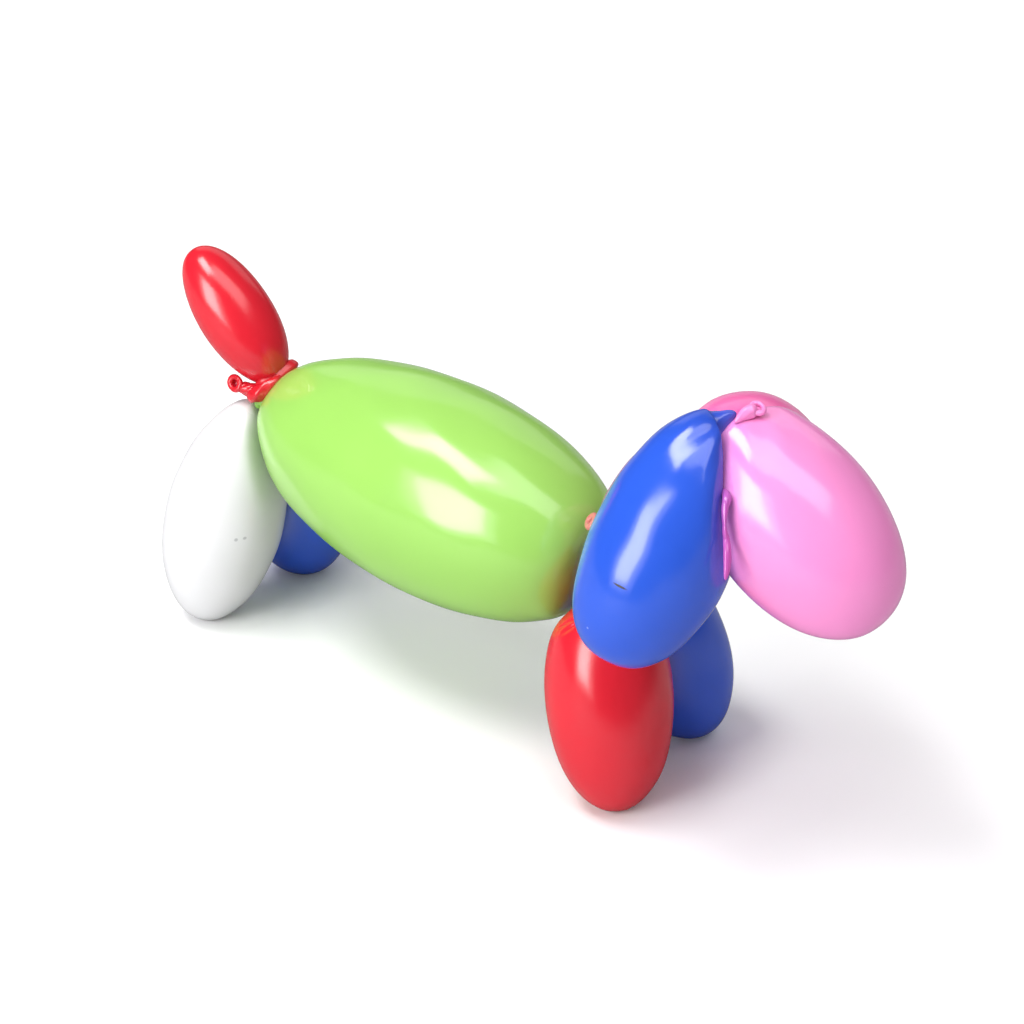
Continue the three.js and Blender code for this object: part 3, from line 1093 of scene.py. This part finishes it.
@dataclass
class Forequarters(SubAssembly):
    """The two front legs and the neck, tied to the trunk's front end."""

    leg_length: float = 98.5 * MM
    leg_radius: float = 24.6 * MM
    neck_length: float = 89.0 * MM
    neck_radius: float = 18.0 * MM

    def lay_out(self) -> list[Balloon]:
        """The balloons of this sub-assembly.

        Returns:
            Right leg, left leg and neck.
        """
        tied = path(FRONT_KNOT, (15, -14, -18), (11, -11.5, -9), (7.5, -9, 0.2))
        stem = Slack(tied, (9, 6, 3.5), np.array([0.0, -1.0, 0.0]), twist=2)
        right = Balloon(
            "front_leg_right", RED_LATEX, Egg(self.leg_length, self.leg_radius, 0.58, 0.5),
            near(FRONT_KNOT, 7.5, -9, 0.2), -39.5, 68.5, stands=True, trims=[stem],
            bleed_weight=0.35, sectors=260, rings=220,
            folds=(
                Fold((185.9, -30.5, 78.2), (179.4, -31.2, 71.7), 1.2, 1.0, 0.4),
                Fold((187.6, -32.4, 75.8), (183.1, -34, 70.7), 1.0, 1.0, 0.8),
            ),
        )
        left = Balloon(
            "front_leg_left", BLUE_LATEX, Egg(self.leg_length, self.leg_radius, 0.57, 0.51),
            near(FRONT_KNOT, -1.9, 11, -0.2), 33.5, 67.9, stands=True,
        )
        neck = Balloon(
            "neck", MAGENTA_LATEX, Egg(self.neck_length, self.neck_radius, 0.5, 0.5),
            near(FRONT_KNOT, 6.2, -2, 2.9), 0, -51.8, trims=self._mouth() + self._hanging_end(),
        )
        shoulder = near(-ORIGIN, 181.6, -30.5, 76.6)
        right.walls.append(Wall(unit(np.array([-0.66, -0.03, 0.75])), shoulder, 9))
        return [right, left, neck]

    @staticmethod
    def _mouth() -> list[Slack | Mouth]:
        """The neck's stem and rolled mouth, between the trunk and the right ear.

        Returns:
            The stem and the mouth.
        """
        root = near(FRONT_KNOT, 6.2, -2, 2.9)
        stem = path(root, (3, 0, 6), (-0.5, -6, 11), (-1, -9.5, 13.5))
        facing = np.array([-0.55, -0.5, 0.65])
        # Salmon tint: the neck's own latex colour with a painted reflection of the green trunk.
        salmon_with_reflection = (0.62, 0.22, 0.15, 0.9)
        return [
            Slack(stem, (3, 2.2, 2.6), np.array([1.0, 0.0, 0.0]), twist=4, tint=salmon_with_reflection),
            Mouth(near(root, -0.8, -10.2, 14.4), facing, 3.7, 1.3, hole=1.8, tint=salmon_with_reflection),
        ]

    @staticmethod
    def _hanging_end() -> list[Slack | Mouth]:
        """The slack flat end that hangs between the right ear and the muzzle.

        Returns:
            The upper wavy stretch and the lower tongue.
        """
        flat_side = np.array([0.75, -0.55, 0.3])
        hidden = path(HEAD_KNOT, (-15, 4, -26), (-6, 1, -19), (0.4, -5, -20), (6, -14, -21))
        edge = path(
            HEAD_KNOT, (13.6, -22, -19.4), (15.4, -25.4, -21.9), (16.5, -27.2, -25.5), (17.8, -28.5, -28.7),
        )
        tongue = path(
            HEAD_KNOT, (18.9, -28.7, -32.2), (21.2, -31.1, -35.6), (22.6, -32.9, -39.3), (23.9, -35.4, -43.6),
        )
        girths = (3, 3, 2, 1.2, 0.6, 1.6, 2.1, 1.4, 0.5, 1.4, 1.8, 1.7)
        line = hidden + edge + tongue
        return [Slack(line, girths, flat_side, flat=1.4, ripple=0.05, rings=128, slackness=0.1)]


@dataclass
class Head(SubAssembly):
    """Two hanging ears and the long muzzle, tied to the neck's top."""

    ear_right_length: float = 100.3 * MM
    ear_right_radius: float = 26.7 * MM
    ear_left_length: float = 94.6 * MM
    ear_left_radius: float = 30.0 * MM
    muzzle_length: float = 104.0 * MM
    muzzle_radius: float = 30.6 * MM

    def lay_out(self) -> list[Balloon]:
        """The balloons of this sub-assembly.

        Returns:
            Right ear, left ear and muzzle.
        """
        # A dark dash and a pale spot on the right ear, drawn as colour.
        dark_dash = (0.002, 0.003, 0.02)
        pale_spot = (0.16, 0.25, 0.7)
        right = Balloon(
            "ear_right", BLUE_LATEX, Egg(self.ear_right_length, self.ear_right_radius, 0.436, 0.385),
            near(HEAD_KNOT, -2.1, 0, -0.2), -103.6, 57.8, firmness=2, trims=self._beak(),
            sectors=300, rings=240,
            folds=(
                Fold((243, -15, 175.5), (236.5, -33, 171), 0.9, 2.2),
                Fold((240, -17, 176.5), (232, -31, 173), -0.5, 3.0),
                Fold((246, -19, 174), (250, -33, 164.5), 0.9, 2.2),
                Fold((244, -18, 175), (246, -33, 167), -0.5, 2.6),
                Fold((238.5, -15.5, 176.9), (242.7, -18.3, 175.6), 0.9, 2.4, 0.5),
            ),
            marks=(
                Mark(spot(234.7, -65.1, 127.4), (0.0033, 0.005, 0.0005), (0, 0.2, 0), dark_dash),
                Mark(spot(224.1, -69.2, 107.8), (0.0006, 0.004, 0.0005), (0, 0, 0), pale_spot),
            ),
        )
        beside_muzzle = near(-ORIGIN, 251.1, -27.0, 155.9)
        right.walls.append(Wall(unit(np.array([0.922, 0.362, 0.134])), beside_muzzle, 14))
        left = Balloon(
            "ear_left", HOT_PINK_LATEX, Egg(self.ear_left_length, self.ear_left_radius, 0.56, 0.48),
            near(HEAD_KNOT, -8, 11, -11.5), 109.1, 54.5,
        )
        muzzle = Balloon(
            "muzzle", PINK_LATEX, Egg(self.muzzle_length, self.muzzle_radius, 0.558, 0.466),
            near(HEAD_KNOT, -20.9, 5, -5.1), 1.2, 36.5, trims=self._top_mouth(),
            keeps_form_against=("ear_right",),
            folds=(
                Fold((247, -3, 174.5), (262, -18.5, 166), 0.45, 4.0),
                Fold((249, -10, 173), (263, -27, 156), -0.3, 4.0),
                Fold((255, -4, 174), (273, -20, 159), -0.3, 4.5),
                Fold((251, 2, 175), (270, -4, 169), 0.5, 4.0),
            ),
        )
        return [right, left, muzzle]

    @staticmethod
    def _beak() -> list[Slack | Mouth]:
        """The right ear's tied tip, which curls over the knot.

        Returns:
            The tip alone.
        """
        points = path(HEAD_KNOT, (-6, -9, -6), (-1.8, -5, -1.6), (0.3, -2.8, 0.3), (1.6, -1.2, 0.6))
        return [Slack(points, (7.5, 6, 3.3, 1.4), np.array([0.0, 1.0, 0.0]), ripple=0.05, slackness=0.3)]

    @staticmethod
    def _top_mouth() -> list[Slack | Mouth]:
        """The muzzle's stem and rolled mouth, which lie on top of it.

        Returns:
            The stem and the mouth.
        """
        stem = path(
            HEAD_KNOT, (3.9, -5.6, -0.4), (4.5, -3.8, 0.7), (5.3, -1.5, 1.8), (6.3, 0.8, 2.4), (7.5, 3, 2.5),
        )
        face = np.array([0.16, -0.22, 0.96])
        return [
            Slack(stem, (0.9, 1.5, 2.3, 2.7, 2.3), np.array([0.0, 1.0, 0.0]), twist=3, ripple=0.04),
            Mouth(near(HEAD_KNOT, 7.4, 3.2, 3), face, 3.3, 1.0, hole=0.1, funnel=0.8),
        ]


@dataclass(frozen=True)
class Softbox:
    """A studio light that faces the dog.

    Attributes:
        name: The light's name.
        towards: The direction from the dog to the light.
        across: The direction of the light's width.
        width: In metres.
        height: In metres.
        radiance: How bright its face is.
        distance: From the dog, in metres.
    """

    name: str
    towards: tuple[float, float, float]
    across: tuple[float, float, float]
    width: float
    height: float
    radiance: float
    distance: float = 2.4

    def build(self, target: Vector) -> None:
        """Hangs the light.

        Args:
            target: What it faces.
        """
        out = Vector(self.towards).normalized()
        side = Vector(self.across)
        side = (side - out * side.dot(out)).normalized()
        bpy.ops.object.light_add(type="AREA", location=target + out * self.distance)
        lamp = bpy.context.object
        lamp.name = self.name
        lamp.rotation_euler = Matrix((side, out.cross(side), out)).transposed().to_euler()
        lamp.data.shape = "RECTANGLE"
        lamp.data.size = self.width
        lamp.data.size_y = self.height
        lamp.data.energy = self.radiance * math.pi * self.width * self.height


@dataclass
class Studio:
    """Pale floor, soft light and the camera.

    Attributes:
        target: What the camera and the lights face.
        azimuth: The camera's degrees from -Y towards +X.
        elevation: The camera's degrees above level.
        distance: The camera's distance, in metres.
        lens: Focal length, in millimetres.
        sensor: Width of the sensor, in millimetres.
        daylight: Strength of the surroundings.
        dark_room: Their strength in reflections.
        floor_size: In metres.
        floor_seen: The floor's colour to the camera.
        floor_lit: Its colour to the light that it sends back.
        floor_mirrored: Its colour in reflections.
        floor_lift: How far it is brightened to the camera.
    """

    target: Vector = field(default_factory=lambda: Vector(near(-ORIGIN, 131, 0, 88)))
    azimuth: float = 40.0
    elevation: float = 31.0
    distance: float = 1.2
    lens: float = 108.2
    sensor: float = 36.0
    daylight: float = 0.42
    dark_room: float = 0.10
    floor_size: float = 60.0
    floor_seen: tuple[float, float, float, float] = (0.90, 0.90, 0.905, 1.0)
    floor_lit: tuple[float, float, float, float] = (0.74, 0.74, 0.745, 1.0)
    floor_mirrored: tuple[float, float, float, float] = (0.32, 0.32, 0.325, 1.0)
    floor_lift: float = 0.03

    def build(self) -> None:
        """Sets up the floor, the lights, the surroundings and the camera."""
        self._floor()
        self._lights()
        self._camera()
        scene = bpy.context.scene
        scene.view_settings.view_transform = "Standard"
        scene.view_settings.look = "None"

    def _floor(self) -> None:
        """Lays the pale floor."""
        bpy.ops.object.select_all(action="DESELECT")
        bpy.ops.mesh.primitive_plane_add(size=self.floor_size, location=(0, 0, 0))
        floor = bpy.context.object
        floor.name = "floor"
        nodes = Nodes("floor_paper")
        light_path = nodes.add("ShaderNodeLightPath")
        seen = light_path.outputs["Is Camera Ray"]
        bounce = nodes.mix(light_path.outputs["Is Glossy Ray"], self.floor_lit, self.floor_mirrored)
        paper = nodes.add("ShaderNodeBsdfPrincipled", {
            "Base Color": nodes.mix(seen, bounce, self.floor_seen),
            "Roughness": 0.8,
            "Emission Color": (1.0, 1.0, 1.0, 1.0),
            "Emission Strength": nodes.math("MULTIPLY", seen, self.floor_lift),
        })
        nodes.add("ShaderNodeOutputMaterial", {"Surface": paper.outputs["BSDF"]})
        floor.data.materials.append(nodes.material)

    def _lights(self) -> None:
        """Hangs the softboxes and lights the surroundings."""
        for softbox in (
            Softbox("overhead", (-0.29, -0.26, 0.92), (0.85, -0.5, 0.2), 1.3, 0.75, 10.0),
            Softbox("ceiling", (0.33, -0.10, 0.93), (0.84, 0.25, -0.3), 2.0, 1.3, 2.6),
            Softbox("front_left", (-0.13, -0.89, 0.44), (1.0, 0.0, 0.0), 1.0, 1.45, 6.6),
            Softbox("front_left_spill", (-0.12, -0.90, 0.42), (1.0, 0.0, 0.0), 1.7, 1.8, 1.6),
            Softbox("backdrop", (-0.45, 0.75, 0.5), (0.85, 0.5, 0.0), 3.0, 1.4, 0.6),
        ):
            softbox.build(self.target)
        nodes = Nodes.of_world("daylight")
        gloss = nodes.add("ShaderNodeLightPath").outputs["Is Glossy Ray"]
        strength = nodes.add("ShaderNodeMapRange", {0: gloss, 3: self.daylight, 4: self.dark_room})
        sky = nodes.add("ShaderNodeBackground", {"Strength": strength.outputs[0]})
        nodes.add("ShaderNodeOutputWorld", {"Surface": sky.outputs[0]})

    def _camera(self) -> None:
        """Places the camera at the photograph's angle."""
        azimuth, elevation = math.radians(self.azimuth), math.radians(self.elevation)
        back = Vector((math.sin(azimuth) * math.cos(elevation), -math.cos(azimuth) * math.cos(elevation),
                       math.sin(elevation)))
        bpy.ops.object.camera_add(location=self.target + back * self.distance)
        camera = bpy.context.object
        camera.rotation_euler = back.to_track_quat("Z", "Y").to_euler()
        camera.data.lens = self.lens
        camera.data.sensor_width = self.sensor
        camera.data.clip_start = 0.01
        bpy.context.scene.camera = camera


def main() -> None:
    """Builds the dog and its studio, and reports each piece."""
    logging.basicConfig(level=logging.INFO, format="%(name)s %(message)s")
    trunk, hind, fore, head = parts = (Trunk(), Hindquarters(), Forequarters(), Head())
    body, neck, tail = trunk.balloons[0], fore.balloons[2], hind.balloons[2]
    knots = (
        (HIND_KNOT, [*hind.balloons[:2], body, tail]),
        (FRONT_KNOT, [body, *fore.balloons]),
        (HEAD_KNOT, [neck, *head.balloons]),
    )
    for knot, ties in knots:
        for a, b in combinations(ties, 2):
            press_together(a, b, knot)
    everyone = [balloon for part in parts for balloon in part.balloons]
    for part in parts:
        part.build(everyone)
        part.dress()
    Studio().build()


if __name__ == "__main__":
    main()
